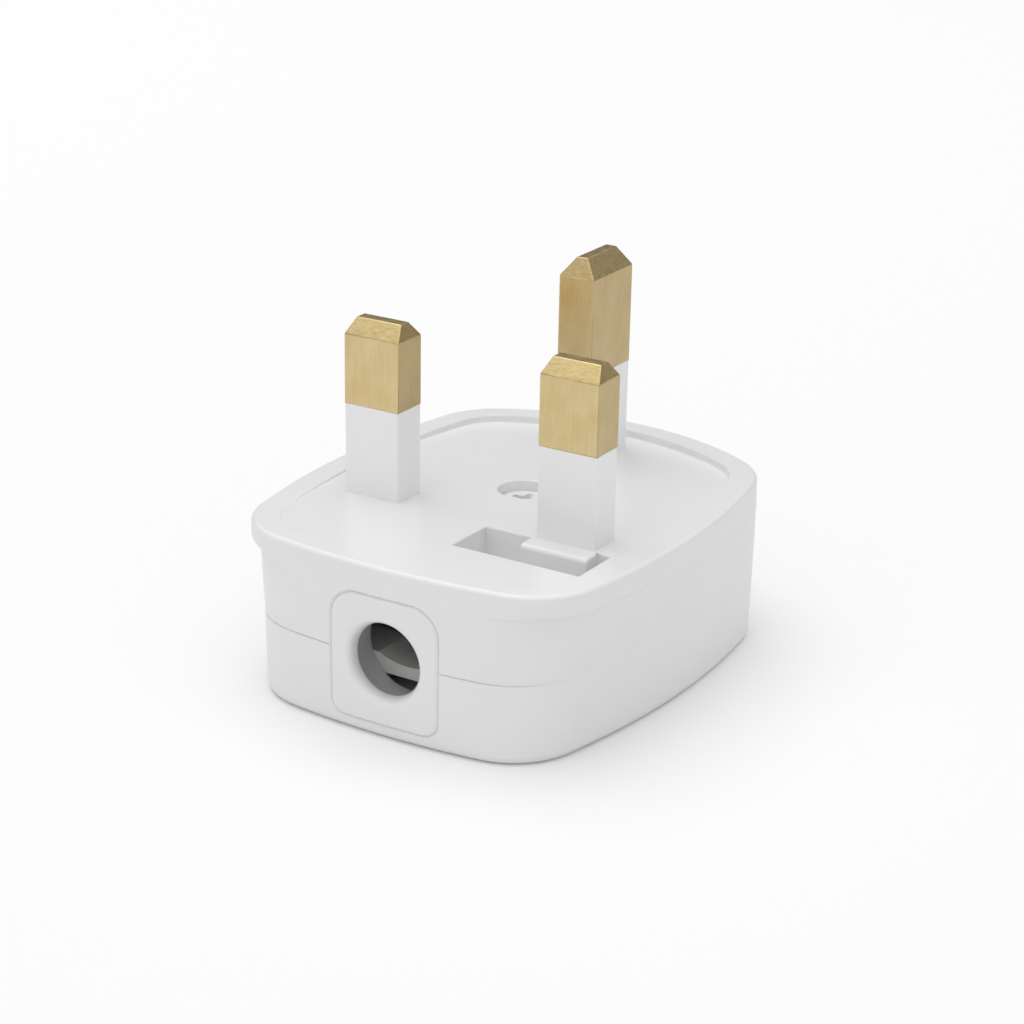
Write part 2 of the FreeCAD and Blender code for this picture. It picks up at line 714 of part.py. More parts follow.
def make_cover_screw():
    body = new_body("cover_screw", y="screw_back")
    pad(body, draw_circle(new_sketch(body, level=screw_seat), "screw_head_diameter"), "screw_head_height")
    head_top = f"({screw_seat} + screw_head_height)"
    break_edges(body, lambda edge: lies_at(edge, head_top), "screw_head_round")
    shank = draw_circle(new_sketch(body, level=screw_seat), "screw_diameter")
    pad(body, shank, "screw_length", downward=True)
    wide, narrow = "cross_length / 2", "cross_width / 2"
    cross = [(wide, f"-{narrow}"), (wide, narrow), (narrow, narrow),
             (narrow, wide), (f"-{narrow}", wide), (f"-{narrow}", narrow),
             (f"-{wide}", narrow), (f"-{wide}", f"-{narrow}"), (f"-{narrow}", f"-{narrow}"),
             (f"-{narrow}", f"-{wide}"), (narrow, f"-{wide}"), (narrow, f"-{narrow}")]
    cut(body, draw_polygon(new_sketch(body, level=head_top), cross), "cross_depth")
    return body


def make_ring(label, level, height, outside, inside):
    body = new_body(label, y="screw_back")
    ring = new_sketch(body, level=level)
    draw_circle(ring, outside)
    draw_circle(ring, inside)
    pad(body, ring, height)
    return body


def make_fuse_tube():
    body = new_body("fuse_tube", fuse_x)
    tube = draw_circle(new_sketch(body, "XZ_Plane", f"-{fuse_end} + fuse_cap_wall"),
                       "(fuse_diameter - 2 * fuse_cap_wall)", y=fuse_level)
    pad(body, tube, "fuse_length - 2 * fuse_cap_wall")
    return body


def make_fuse_cap(label, closed_end, open_end):
    """A cup pressed over one end of the tube."""
    body = new_body(label, fuse_x)
    faces_front = value(closed_end) < value(open_end)
    disc = draw_circle(new_sketch(body, "XZ_Plane", f"-{closed_end}"), "fuse_diameter", y=fuse_level)
    pad(body, disc, "fuse_cap_length", downward=faces_front)
    bore = draw_circle(new_sketch(body, "XZ_Plane", f"-{open_end}"), "(fuse_diameter - 2 * fuse_cap_wall)",
                       y=fuse_level)
    cut(body, bore, "fuse_cap_length - fuse_cap_wall", along_normal=faces_front)
    return body


def make_fuse_clip(label, start):
    """A spring clip round a fuse cap, open below, with a flat tab on top."""
    body = new_body(label, fuse_x)
    profile = new_sketch(body, "XZ_Plane", f"-{start} - clip_length")
    level, drop = value(fuse_level), value("clip_drop")
    centre = FreeCAD.Vector(0, level, 0)
    ends = []
    for radius in (f"{clip_inside} + clip_thickness", clip_inside):
        half = math.sqrt(value(radius) ** 2 - drop ** 2)
        right, left = (FreeCAD.Vector(side * half, level - drop, 0) for side in (1, -1))
        arc = profile.addGeometry(arc_between(centre, right, left))
        pin_point(profile, arc, 3, "0", fuse_level)
        bind(profile, "Radius", (arc,), radius)
        for end in (1, 2):
            bind(profile, "DistanceY", (-1, 1, arc, end), f"{fuse_level} - clip_drop")
        ends.append((right, left))
    for end in (0, 1):
        line = profile.addGeometry(Part.LineSegment(ends[0][end], ends[1][end]))
        for arc in (0, 1):
            profile.addConstraint(Sketcher.Constraint("Coincident", line, arc + 1, arc, end + 1))
    pad(body, profile, "clip_length")
    tab = draw_rectangle(new_sketch(body, "XZ_Plane", f"-{start} - clip_length"), "-clip_tab_width / 2",
                         f"{fuse_level} + {clip_inside}", "clip_tab_width / 2", strap_under)
    pad(body, tab, "clip_length")
    return body


pillar_left = f"({fuse_x} + fuse_diameter / 2 + clip_thickness + pillar_fuse_gap)"
rear_clip_start = f"({fuse_end} - fuse_cap_length / 2 - clip_length / 2)"
front_clip_start = f"({fuse_start} + fuse_cap_length / 2 - clip_length / 2)"
pillar_middle = f"({rear_clip_start} - pillar_length / 2)"
pillar_x = f"({pillar_left} + pillar_width / 2)"


def make_line_terminal():
    """A pillar with its strap, which runs back over the rear fuse clip."""
    body = new_body("line_terminal")
    strap = draw_polygon(new_sketch(body, level=face_under), [
        (f"{fuse_x} - clip_tab_width / 2", rear_clip_start), (pillar_left, rear_clip_start),
        (pillar_left, f"{rear_clip_start} - pillar_length"),
        (f"{pillar_left} + pillar_width", f"{rear_clip_start} - pillar_length"),
        (f"{pillar_left} + pillar_width", f"{rear_clip_start} + strap_thickness"),
        (f"{pillar_left} + strap_thickness", f"{rear_clip_start} + clip_length"),
        (f"{fuse_x} - clip_tab_width / 2", f"{rear_clip_start} + clip_length")])
    pad(body, strap, "strap_thickness", downward=True)
    pillar = draw_centred(new_sketch(body, level=face_under), "pillar_width", "pillar_length",
                          pillar_x, pillar_middle)
    pad(body, pillar, "head_height", downward=True)
    wire = draw_circle(new_sketch(body, "XZ_Plane", f"-{rear_clip_start} + pillar_length"),
                       "wire_hole_diameter", pillar_x, wire_level)
    cut(body, wire, "2 * pillar_length")
    thread = draw_circle(new_sketch(body, level=head_foot), "terminal_screw_diameter",
                         pillar_x, pillar_middle)
    cut(body, thread, f"{wire_level} - {head_foot}", along_normal=True)
    return body


def make_slotted_screw(label, places, seat, reach, shank, head, head_height):
    """Cheese head screws driven upwards, one at each place, heads down."""
    body = new_body(label)
    shanks = new_sketch(body, level=seat)
    heads = new_sketch(body, level=seat)
    slots = new_sketch(body, level=f"{seat} - {head_height}")
    for x, y in places:
        draw_circle(shanks, shank, x, y)
        draw_circle(heads, head, x, y)
        draw_centred(slots, f"2 * {head}", "screw_slot_width", x, y)
    pad(body, heads, head_height, downward=True)
    pad(body, shanks, reach)
    cut(body, slots, "screw_slot_depth", along_normal=True)
    return body


def make_cord_grip_bar():
    """A bar across the cord with a shallow saddle and two screw holes."""
    body = new_body("cord_grip_bar", y=grip_line)
    pad(body, draw_centred(new_sketch(body, level="grip_bar_height"), "grip_bar_length", "grip_bar_width"),
        "grip_bar_thickness")
    saddle = draw_circle(new_sketch(body, "XZ_Plane", "-grip_bar_width"), "2 * cord_hole_diameter",
                         y=f"{grip_bar_top} - grip_bar_saddle + cord_hole_diameter")
    cut(body, saddle, "2 * grip_bar_width", along_normal=True)
    holes = new_sketch(body, level=grip_bar_top)
    for side in ("-", ""):
        draw_circle(holes, "grip_screw_diameter", x=f"{side}grip_spacing / 2")
    cut(body, holes, "grip_bar_thickness")
    return body


pieces = [
    make_pin_base(),
    make_back_cover(),
    make_cord_entry_collar(),
    make_line_pin(),
    make_neutral_pin(),
    make_earth_pin(),
    make_sleeve("line_pin_sleeve", line_x, pin_line, "live"),
    make_sleeve("neutral_pin_sleeve", neutral_x, pin_line, "live"),
    make_sleeve("earth_pin_sleeve", "0", earth_line, "earth"),
    make_cover_screw(),
    make_ring("cover_screw_insert", "parting_height - insert_length", "insert_length",
              "insert_diameter", "screw_diameter"),
    make_ring("cover_screw_retainer", f"{screw_boss_foot} - retainer_thickness", "retainer_thickness",
              "retainer_diameter", "screw_diameter"),
    make_fuse_tube(),
    make_fuse_cap("fuse_cap_front", fuse_start, f"({fuse_start} + fuse_cap_length)"),
    make_fuse_cap("fuse_cap_rear", fuse_end, f"({fuse_end} - fuse_cap_length)"),
    make_fuse_clip("line_pin_fuse_clip", front_clip_start),
    make_fuse_clip("terminal_fuse_clip", rear_clip_start),
    make_line_terminal(),
]
terminal_screw = {"seat": head_foot, "reach": f"{wire_level} - {head_foot}",
                  "shank": "terminal_screw_diameter", "head": "terminal_screw_head",
                  "head_height": "terminal_screw_head_height"}
terminal_places = {
    "line_terminal_screw": (pillar_x, pillar_middle),
    "neutral_terminal_screw": (neutral_x, f"({pin_line} + {neutral_head_start} + head_length / 2)"),
    "earth_terminal_screw": ("0", f"({earth_line} + {earth_head_start} + earth_head_length / 2)"),
}
pieces += [make_slotted_screw(label, [place], **terminal_screw) for label, place in terminal_places.items()]
pieces.append(make_cord_grip_bar())
grip_places = [(f"({side}grip_spacing / 2)", grip_line) for side in ("-", "")]
pieces.append(make_slotted_screw("cord_grip_screws", grip_places, "grip_bar_height",
                                 "grip_bar_thickness + grip_screw_reach", "grip_screw_diameter",
                                 "grip_screw_head", "grip_screw_head_height"))

doc.recompute()
for item in doc.Objects:
    if "Invalid" in item.State or "Error" in item.State:
        raise RuntimeError(f"{item.Label} did not build")
for piece in pieces:
    if piece.Shape.isNull() or not piece.Shape.isValid():
        raise RuntimeError(f"{piece.Label} has no valid shape")

os.makedirs("parts", exist_ok=True)
for piece in pieces:
    piece.Shape.exportStep(f"parts/{piece.Label}.step")
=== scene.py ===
import math
import bmesh
import bpy
from mathutils import Matrix, Vector


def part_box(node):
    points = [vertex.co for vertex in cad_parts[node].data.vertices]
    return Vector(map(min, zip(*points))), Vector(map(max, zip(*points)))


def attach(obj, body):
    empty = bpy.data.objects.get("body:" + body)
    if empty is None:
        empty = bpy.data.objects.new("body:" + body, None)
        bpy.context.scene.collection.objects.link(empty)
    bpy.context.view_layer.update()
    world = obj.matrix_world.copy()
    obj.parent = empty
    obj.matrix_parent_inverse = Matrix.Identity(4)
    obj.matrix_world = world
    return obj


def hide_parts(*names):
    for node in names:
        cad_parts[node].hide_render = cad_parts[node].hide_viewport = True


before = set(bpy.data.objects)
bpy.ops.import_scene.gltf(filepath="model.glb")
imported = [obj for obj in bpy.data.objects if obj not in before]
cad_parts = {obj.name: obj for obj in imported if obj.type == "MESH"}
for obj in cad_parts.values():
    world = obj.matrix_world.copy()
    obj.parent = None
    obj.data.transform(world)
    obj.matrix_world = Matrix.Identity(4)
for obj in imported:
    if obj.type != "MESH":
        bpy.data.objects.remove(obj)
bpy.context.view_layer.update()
mm = 0.001  # pieces are modelled in millimetres and scaled to metres when they are finished


def nodeBox(node):
    low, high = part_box(node)
    return low / mm, high / mm


bodyLow, bodyHigh = nodeBox("pin_base")
print("frame loaded, body", [round(size, 2) for size in bodyHigh - bodyLow], "mm")


# materials

def linear(code):  # sRGB hex to linear colour
    shares = [int(code[i:i + 2], 16) / 255 for i in (1, 3, 5)]
    return [c / 12.92 if c <= 0.04045 else ((c + 0.055) / 1.055) ** 2.4 for c in shares] + [1.0]


def perMetre(size):  # noise scale that gives features of a size in mm
    return 1 / (size * mm)


def addNode(tree, kind, inputs, **settings):
    node = tree.nodes.new(kind)
    for name, setting in settings.items():
        setattr(node, name, setting)
    for name, source in inputs.items():
        if isinstance(source, bpy.types.NodeSocket):
            tree.links.new(source, node.inputs[name])
        else:
            node.inputs[name].default_value = source
    return node


def startMaterial(name):
    material = bpy.data.materials.new(name)
    material.use_nodes = True
    tree = material.node_tree
    place = addNode(tree, "ShaderNodeTexCoord", {}).outputs["Object"]
    return material, tree, tree.nodes["Principled BSDF"], place


noiseSpan = {"From Min": 0.3, "From Max": 0.7}  # nearly all values of a noise texture lie in this range
peelDepth, grainDepth = 0.02 * mm, 0.01 * mm  # depth of the bump on plastics and on metals
cloudShare = 0.45  # how far a metal's shade follows its clouds, the rest being its grain


def plastic(name, finish):
    material, tree, shader, place = startMaterial(name)
    cloud = addNode(tree, "ShaderNodeTexNoise",
                    {"Vector": place, "Scale": perMetre(finish["cloud"]), "Detail": 2.0}).outputs["Fac"]
    peel = addNode(tree, "ShaderNodeTexNoise",
                   {"Vector": place, "Scale": perMetre(finish["peel"]), "Detail": 3.0}).outputs["Fac"]
    first, second = (linear(code) for code in finish["colours"])
    colour = addNode(tree, "ShaderNodeMix", {0: cloud, 6: first, 7: second}, data_type="RGBA").outputs[2]
    # painted shade: past a depth along Y the colour turns to a given grey, for the inside of a hole
    if "inside" in finish:
        inside = finish["inside"]
        depth = addNode(tree, "ShaderNodeSeparateXYZ", {0: place}).outputs["Y"]
        depth = addNode(tree, "ShaderNodeMapRange", {"Value": depth, "From Min": inside["from"] * mm,
                                                     "From Max": inside["to"] * mm}).outputs[0]
        colour = addNode(tree, "ShaderNodeMix", {0: depth, 6: colour, 7: linear(inside["colour"])},
                         data_type="RGBA").outputs[2]
    shiny, dull = finish["roughness"]
    rough = addNode(tree, "ShaderNodeMapRange",
                    {"Value": peel, "To Min": shiny, "To Max": dull, **noiseSpan}).outputs[0]
    bump = addNode(tree, "ShaderNodeBump",
                   {"Height": peel, "Strength": finish["bump"], "Distance": peelDepth})
    tree.links.new(colour, shader.inputs["Base Color"])
    tree.links.new(rough, shader.inputs["Roughness"])
    tree.links.new(bump.outputs["Normal"], shader.inputs["Normal"])
    shader.inputs["IOR"].default_value = finish["ior"]
    return material


def metal(name, finish):
    material, tree, shader, place = startMaterial(name)
    shader.inputs["Metallic"].default_value = 1.0
    drawn = addNode(tree, "ShaderNodeMapping",
                    {"Vector": place, "Scale": [perMetre(size) for size in finish["grain"]]})
    grain = addNode(tree, "ShaderNodeTexNoise",
                    {"Vector": drawn.outputs[0], "Scale": 1.0, "Detail": 4.0,
                     "Roughness": 0.6}).outputs["Fac"]
    cloud = addNode(tree, "ShaderNodeTexNoise",
                    {"Vector": place, "Scale": perMetre(finish["cloud"]), "Detail": 3.0}).outputs["Fac"]
    both = addNode(tree, "ShaderNodeMix", {0: cloudShare, 2: grain, 3: cloud}).outputs[0]
    shade = addNode(tree, "ShaderNodeMapRange", {"Value": both, **noiseSpan}).outputs[0]
    first, second = (linear(code) for code in finish["colours"])
    colour = addNode(tree, "ShaderNodeMix", {0: shade, 6: first, 7: second}, data_type="RGBA").outputs[2]
    shiny, dull = finish["roughness"]
    rough = addNode(tree, "ShaderNodeMapRange",
                    {"Value": grain, "To Min": shiny, "To Max": dull, **noiseSpan}).outputs[0]
    if "tip" in finish:
        # painted shade: the faces across X are a shade darker and browner; the faces that lean up are milled
        # across with faint cutter marks, in colours with a painted darker shade
        side, tip = finish["side"], finish["tip"]
        normal = addNode(tree, "ShaderNodeTexCoord", {}).outputs["Normal"]
        normal = addNode(tree, "ShaderNodeSeparateXYZ", {0: normal}).outputs
        across = addNode(tree, "ShaderNodeMath", {0: normal["X"]}, operation="ABSOLUTE").outputs[0]
        start, full = side["facing"]
        across = addNode(tree, "ShaderNodeMapRange",
                         {"Value": across, "From Min": start, "From Max": full}).outputs[0]
        # painted shade on the faces across X
        first, second = (linear(code) for code in side["colours"])
        shadedSides = addNode(tree, "ShaderNodeMix", {0: shade, 6: first, 7: second}, data_type="RGBA").outputs[2]
        colour = addNode(tree, "ShaderNodeMix", {0: across, 6: colour, 7: shadedSides},
                         data_type="RGBA").outputs[2]
        start, full = tip["facing"]
        lean = addNode(tree, "ShaderNodeMapRange",
                       {"Value": normal["Z"], "From Min": start, "From Max": full}).outputs[0]
        milled = addNode(tree, "ShaderNodeMapping",
                         {"Vector": place, "Scale": [perMetre(size) for size in tip["grain"]]})
        marks = addNode(tree, "ShaderNodeTexNoise",
                        {"Vector": milled.outputs[0], "Scale": 1.0, "Detail": 3.0}).outputs["Fac"]
        shade = addNode(tree, "ShaderNodeMapRange", {"Value": marks, **noiseSpan}).outputs[0]
        # the cutter marks are real grain; the tip's darker colours are painted shade
        first, second = (linear(code) for code in tip["colours"])
        markedShadedTip = addNode(tree, "ShaderNodeMix", {0: shade, 6: first, 7: second}, data_type="RGBA").outputs[2]
        colour = addNode(tree, "ShaderNodeMix", {0: lean, 6: colour, 7: markedShadedTip}, data_type="RGBA").outputs[2]
        shiny, dull = tip["roughness"]
        shine = addNode(tree, "ShaderNodeMapRange",
                        {"Value": marks, "To Min": shiny, "To Max": dull, **noiseSpan}).outputs[0]
        rough = addNode(tree, "ShaderNodeMix", {0: lean, 2: rough, 3: shine}).outputs[0]
    bump = addNode(tree, "ShaderNodeBump",
                   {"Height": grain, "Strength": finish["bump"], "Distance": grainDepth})
    tree.links.new(colour, shader.inputs["Base Color"])
    tree.links.new(rough, shader.inputs["Roughness"])
    tree.links.new(bump.outputs["Normal"], shader.inputs["Normal"])
    return material


# sizes of cloud, peel and grain are in mm
# a roughness range that is seen stays above 0.27, because denoising makes specks of one that spans it

# urea moulding from a polished tool: dense white, soft gloss, the faintest orange peel
ureaFinish = {"colours": ("#E8E8E8", "#EDEDEE"), "cloud": 9.0, "peel": 0.7, "roughness": (0.29, 0.35),
              "bump": 0.06, "ior": 1.56}
housingWhite = plastic("moulded_urea_white", ureaFinish)
# the same moulding for the collar, with painted shade: greyer down its hole
collarWhite = plastic("moulded_urea_collar", {
    **ureaFinish, "inside": {"from": -23.6, "to": -22.6, "colour": "#CDCDCD"}})
# nylon sleeve moulded on the pin: as pale as the body, a little duller
sleeveWhite = plastic("moulded_nylon_sleeve", {
    "colours": ("#F0F0F1", "#F4F4F5"), "cloud": 6.0, "peel": 0.5, "roughness": (0.30, 0.40), "bump": 0.10,
    "ior": 1.53})
# drawn brass bar, linished along the pin: fine streaks from tip to sleeve, painted shade on the faces across
# X, milled tip with painted darker shade
pinBrass = metal("brushed_brass", {
    "colours": ("#CBB27F", "#DBC89B"), "grain": (0.10, 0.10, 2.5), "cloud": 2.5, "roughness": (0.29, 0.37),
    "bump": 0.10, "side": {"colours": ("#B39C6F", "#C3B189"), "facing": (0.6, 0.9)},
    "tip": {"colours": ("#C2AA75", "#D7C392"), "grain": (0.7, 0.7, 0.10), "roughness": (0.29, 0.37),
            "facing": (0.1, 0.25)}})
# bright zinc on a headed steel screw: pale and soft, with no direction in its grain
screwZinc = metal("bright_zinc_plated_steel", {
    "colours": ("#EBEBEA", "#FAFAF9"), "grain": (0.3, 0.3, 0.3), "cloud": 1.2, "roughness": (0.50, 0.62),
    "bump": 0.05})
# brass turned from bar: dull yellow with fine tool marks
terminalBrass = metal("turned_brass", {
    "colours": ("#B99A5E", "#CDB27A"), "grain": (0.2, 0.2, 0.2), "cloud": 2.0, "roughness": (0.34, 0.46),
    "bump": 0.15})
# phosphor bronze strip pressed to shape: redder than brass, with the strip's long grain
clipBronze = metal("pressed_phosphor_bronze", {
    "colours": ("#B08660", "#C79B74"), "grain": (0.2, 3.0, 0.2), "cloud": 2.0, "roughness": (0.30, 0.42),
    "bump": 0.15})
# nickel on drawn brass caps: warm grey and fairly bright
capNickel = metal("nickel_plated_brass", {
    "colours": ("#BEBCB6", "#D3D1CA"), "grain": (0.3, 2.0, 0.3), "cloud": 1.5, "roughness": (0.22, 0.34),
    "bump": 0.10})
# fired steatite: dry, slightly warm white with fine speckle
fuseCeramic = plastic("fired_ceramic", {
    "colours": ("#DFDCD2", "#E9E7DF"), "cloud": 1.0, "peel": 0.25, "roughness": (0.55, 0.70), "bump": 0.20,
    "ior": 1.6})
# vulcanised fibre: brown, dry, slightly hairy surface
gripFibre = plastic("vulcanised_fibre", {
    "colours": ("#7D5B45", "#936E55"), "cloud": 1.5, "peel": 0.3, "roughness": (0.60, 0.75), "bump": 0.35,
    "ior": 1.5})
# plain moulded nylon: nearly as pale as the body, matt
gripNylon = plastic("moulded_nylon_bar", {
    "colours": ("#DEDEDC", "#E6E6E4"), "cloud": 3.0, "peel": 0.4, "roughness": (0.45, 0.55), "bump": 0.15,
    "ior": 1.53})
print("materials made")


# modelling helpers

through = 1.0  # mm that a cutting tool goes past the surface it opens
overlap = 0.6  # mm that a joined piece goes into the one that it stands on
near = 0.01  # mm within which an edge counts as lying at a place
weld = 1e-4  # mm within which points are merged
facing, upright = 0.9, 0.2  # a normal's share along an axis that a face looks along, or stands beside
aligned = 0.999  # an edge's share along an axis that it runs along
edgeSegments = 3


def deselect():
    bpy.ops.object.select_all(action="DESELECT")


def makeActive(piece):
    deselect()
    piece.select_set(True)
    bpy.context.view_layer.objects.active = piece


def loft(name, count, places, closed=False):
    # a ring is extruded from place to place; each point keeps the angle it started with
    deselect()
    bpy.ops.mesh.primitive_circle_add(vertices=count, radius=1.0)
    piece = bpy.context.object
    piece.name = name
    bpy.ops.object.mode_set(mode="EDIT")
    mesh = bmesh.from_edit_mesh(piece.data)
    turn = mesh.verts.layers.float.new("turn")
    for vert in mesh.verts:
        vert[turn] = math.atan2(vert.co.y, vert.co.x)
    for i, place in enumerate(places):
        if i:
            bpy.ops.mesh.extrude_edges_move()
        mesh = bmesh.from_edit_mesh(piece.data)
        turn = mesh.verts.layers.float["turn"]
        for vert in mesh.verts:
            if vert.select:
                vert.co = place(vert[turn])
        bmesh.update_edit_mesh(piece.data)
    bpy.ops.mesh.select_all(action="SELECT")
    if closed:
        bpy.ops.mesh.remove_doubles(threshold=weld)
    else:
        bpy.ops.mesh.fill_holes(sides=0)
        bpy.ops.mesh.select_all(action="SELECT")
    bpy.ops.mesh.normals_make_consistent(inside=False)
    bpy.ops.object.mode_set(mode="OBJECT")
    piece.data.attributes.remove(piece.data.attributes["turn"])
    return piece


def addBlock(low, high):
    deselect()
    low, high = Vector(low), Vector(high)
    bpy.ops.mesh.primitive_cube_add(size=1.0, location=(low + high) / 2, scale=high - low)
    bpy.ops.object.transform_apply(location=True, rotation=True, scale=True)
    return bpy.context.object


def addRod(spot, low, high, radius, sides=64, along="Z"):
    # along Z the spot is x and y, along Y it is x and z
    deselect()
    turned = (math.pi / 2, 0, 0) if along == "Y" else (0, 0, 0)
    bpy.ops.mesh.primitive_cylinder_add(vertices=sides, radius=radius, depth=high - low, rotation=turned)
    bpy.ops.object.transform_apply(location=True, rotation=True, scale=True)
    rod = bpy.context.object
    centre = (low + high) / 2
    place = (spot[0], centre, spot[1]) if along == "Y" else (spot[0], spot[1], centre)
    rod.data.transform(Matrix.Translation(place))
    return rod


def combine(piece, tool, operation):
    makeActive(piece)
    joiner = piece.modifiers.new(operation.lower(), "BOOLEAN")
    joiner.operation = operation
    joiner.solver = "EXACT"
    joiner.object = tool
    bpy.ops.object.modifier_apply(modifier=joiner.name)
    bpy.data.objects.remove(tool)


def bevelEdges(piece, chosen, width, segments):
    makeActive(piece)
    bpy.ops.object.mode_set(mode="EDIT")
    bpy.ops.mesh.select_mode(type="EDGE")
    bpy.ops.mesh.select_all(action="DESELECT")
    mesh = bmesh.from_edit_mesh(piece.data)
    for edge in mesh.edges:
        if chosen(edge):
            edge.select_set(True)
    bmesh.update_edit_mesh(piece.data)
    bpy.ops.mesh.bevel(offset=width, segments=segments, affect="EDGES", clamp_overlap=False)
    bpy.ops.mesh.select_mode(type="VERT")
    bpy.ops.object.mode_set(mode="OBJECT")


def finishPiece(piece, name, node, material, smooth=35):
    # edges that turn by more than the smooth angle, in degrees, stay sharp
    makeActive(piece)
    piece.name = name
    piece.data.name = name
    bpy.ops.object.mode_set(mode="EDIT")
    bpy.ops.mesh.select_all(action="SELECT")
    bpy.ops.mesh.remove_doubles(threshold=weld)
    bpy.ops.mesh.normals_make_consistent(inside=False)
    bpy.ops.object.mode_set(mode="OBJECT")
    piece.scale = (mm, mm, mm)
    bpy.ops.object.transform_apply(location=True, rotation=True, scale=True)
    bpy.ops.object.shade_smooth_by_angle(angle=math.radians(smooth))
    weighted = piece.modifiers.new("weighted", "WEIGHTED_NORMAL")
    weighted.keep_sharp = True
    bpy.ops.object.modifier_apply(modifier=weighted.name)
    piece.data.materials.clear()
    piece.data.materials.append(material)
    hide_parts(node)
    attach(piece, "root")
    print(name, len(piece.data.polygons), "faces")


# plan outline of the moulded body

bodyHeight = bodyHigh.z
frontY, backY = bodyLow.y, bodyHigh.y
body = {
    "ringPoints": 360, "lipWidth": bodyHigh.x - bodyLow.x, "lipWidest": -1.9, "lipCorner": 8.0,
    "shoulderWidth": 40.6, "shoulderWidest": -0.4, "shoulderCorner": 10.5,
    "wallWidth": 39.6, "wallWidest": 2.5, "wallCorner": 8.0, "wallSteps": 6,
    "frontArc": 81.0, "sideArc": 85.0, "backCorner": 8.5, "backArc": 29.2, "lipBackOverhang": 0.1,
    "lipHeight": 2.5, "lipRound": 0.9, "lipFillet": 0.2, "lipSteps": 16, "lipHaste": 0.6,
    "topRound": 0.5, "bottomRound": 1.0, "roundSteps": 8, "draft": 0.1,
    "parting": 8.3, "seam": 0.06, "seamSteps": 2, "wall": 2.2, "face": 2.5, "floor": 2.0}


def plan(kind, frontShift=0.0):
    overhang = 0 if kind == "lip" else body["lipBackOverhang"]
    return {"front": frontY + frontShift, "back": backY - overhang, "half": body[kind + "Width"] / 2,
            "widest": body[kind + "Widest"], "frontCorner": body[kind + "Corner"],
            "frontArc": body["frontArc"], "sideArc": body["sideArc"],
            "backCorner": body["backCorner"], "backArc": body["backArc"]}


def blend(first, second, share):
    return {name: first[name] + (second[name] - first[name]) * share for name in first}


def inset(outline, distance):
    moved = {name: size - distance for name, size in outline.items()}
    moved["front"] = outline["front"] + distance
    moved["widest"] = outline["widest"]
    return moved


def cornerCentre(endCentre, endReach, sideCentre, sideReach):
    across = sideCentre - endCentre
    along = (endReach ** 2 - sideReach ** 2 + across.length_squared) / (2 * across.length)
    off = math.sqrt(endReach ** 2 - along ** 2)
    step = across.normalized()
    turned = Vector((-step.y, step.x))
    return max((endCentre + step * along + turned * side for side in (off, -off)), key=lambda point: point.x)


def outlinePoints(outline):
    # a function that gives the outline's point for each direction of its normal
    front = Vector((0, outline["front"] + outline["frontArc"]))
    back = Vector((0, outline["back"] - outline["backArc"]))
    side = Vector((outline["half"] - outline["sideArc"], outline["widest"]))
    frontCorner = cornerCentre(front, outline["frontArc"] - outline["frontCorner"],
                               side, outline["sideArc"] - outline["frontCorner"])
    backCorner = cornerCentre(back, outline["backArc"] - outline["backCorner"],
                              side, outline["sideArc"] - outline["backCorner"])

    def heading(start, end):
        return math.atan2(end.y - start.y, end.x - start.x)

    # direction of the normal where each arc ends, its centre and its radius
    arcs = [(heading(front, frontCorner), front, outline["frontArc"]),
            (heading(side, frontCorner), frontCorner, outline["frontCorner"]),
            (heading(side, backCorner), side, outline["sideArc"]),
            (heading(back, backCorner), backCorner, outline["backCorner"]),
            (math.pi, back, outline["backArc"])]

    def point(turn):
        onLeft = math.cos(turn) < 0
        mirrored = math.atan2(math.sin(turn), abs(math.cos(turn)))
        centre, radius = next(arc[1:] for arc in arcs if mirrored <= arc[0])
        x = centre.x + radius * math.cos(mirrored)
        return Vector((-x if onLeft else x, centre.y + radius * math.sin(mirrored)))

    return point


def ring(outline, level):
    point = outlinePoints(outline)

    def place(turn):
        spot = point(turn)
        return (spot.x, spot.y, level(spot.y) if callable(level) else level)

    return place


def quarter(steps):  # angles of a quarter round
    return [math.pi / 2 * step / steps for step in range(steps + 1)]


def shares(steps):
    return [step / steps for step in range(1, steps + 1)]


def eased(share):  # starts and ends gently
    return share * share * (3 - 2 * share)


# the half that carries the pins

rim = {"width": 3.0, "height": 0.7, "fade": 2.6, "ramp": 0.16, "rampSteps": 6}
fadeLine = frontY + rim["fade"]
faceSlope = rim["height"] / (backY - rim["width"] - fadeLine)
pocket = {"left": 2.4, "width": 13.8, "length": 6.0, "pinGap": 0.2, "depth": 4.2, "wall": 1.2, "edge": 0.16,
          "bossMargin": 0.5, "bossReach": 2.1, "bossRound": 0.5, "bossSegments": 8, "bossEdge": 0.25}
screwHole = {"headClearance": 0.1, "shankDiameter": 3.4, "bossDiameter": 7.0, "bossFoot": 9.3}
coverScrew = {"headHeight": 2.0, "headRound": 0.3, "roundSteps": 6, "dome": 0.1, "shankDiameter": 3.0,
              "pointDiameter": 2.1, "pointHeight": 0.5, "crossWidth": 0.8, "crossLength": 3.2,
              "crossDepth": 1.0, "crossTaper": 0.6, "ringPoints": 96, "domeRings": (0.75, 0.5, 0.25)}
collar = {"width": 12.0, "bottom": 1.4, "height": 12.9, "topRadius": 3.0, "bottomRadius": 1.6, "offset": 0.45,
          "gap": 0.01, "edge": 0.22, "edgeDepth": 0.24, "holeDiameter": 7.4, "flare": 0.8, "flareDepth": 1.3,
          "plate": 1.3, "plateStep": 0.3, "roomDiameter": 9.4, "ringPoints": 240, "faceRings": 6,
          "flangeMargin": 1.2, "flangeThickness": 1.4, "flangeGap": 0.2, "seatGap": 0.05, "topGap": 0.2}
collarHalf = collar["width"] / 2
collarMiddle = collar["bottom"] + collar["height"] / 2
collarBack = nodeBox("cord_entry_collar")[1].y
grip = {"spacing": 18.4, "inset": 7.6, "postDiameter": 4.6, "barTop": 6.2}


def faceLevel(y):
    return bodyHeight - max(y - fadeLine, 0) * faceSlope


